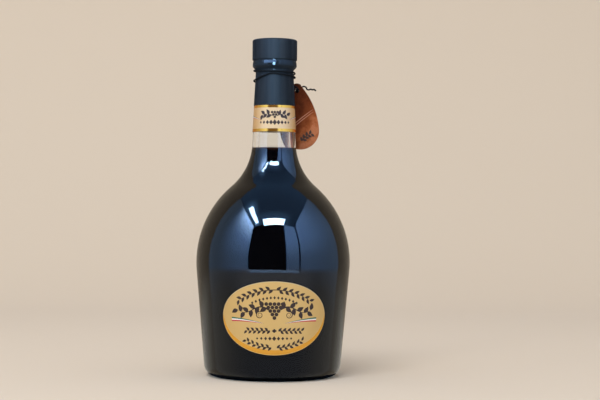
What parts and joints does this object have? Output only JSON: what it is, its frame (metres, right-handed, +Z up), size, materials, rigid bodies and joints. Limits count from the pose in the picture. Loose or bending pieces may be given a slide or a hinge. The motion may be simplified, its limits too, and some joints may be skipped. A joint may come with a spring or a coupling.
{
  "type": "vinegar bottle",
  "caption": "Clear glass flask of dark vinegar with a round shoulder, a short neck under a black capsule, a paper neck band, an oval gold label and a leather hang tag on a string.",
  "frame": {"origin": "centre of the foot, on the plane that the bottle stands on", "axes": "+Z up along the bottle's axis, -Y towards the front label, +X to the right as the label is read"},
  "size_m": [0.0924, 0.0924, 0.202],
  "materials": {
    "clear_glass": "clear and glossy",
    "dark_vinegar": "near-black brown liquid",
    "black_film": "black shrink film with a soft sheen",
    "band_paper": "cream paper with gold edge stripes",
    "label_paper": "pearly gold paper with a metallic gold crescent",
    "tag_leather": "red-brown leather, mottled",
    "black_string": "black elastic string, matte"
  },
  "bodies": {
    "root": {"glass_bottle": "clear_glass", "vinegar": "dark_vinegar", "neck_capsule": "black_film", "neck_band": "band_paper", "front_label": "label_paper", "hang_tag": "tag_leather", "tag_string": "black_string"}
  },
  "joints": []
}
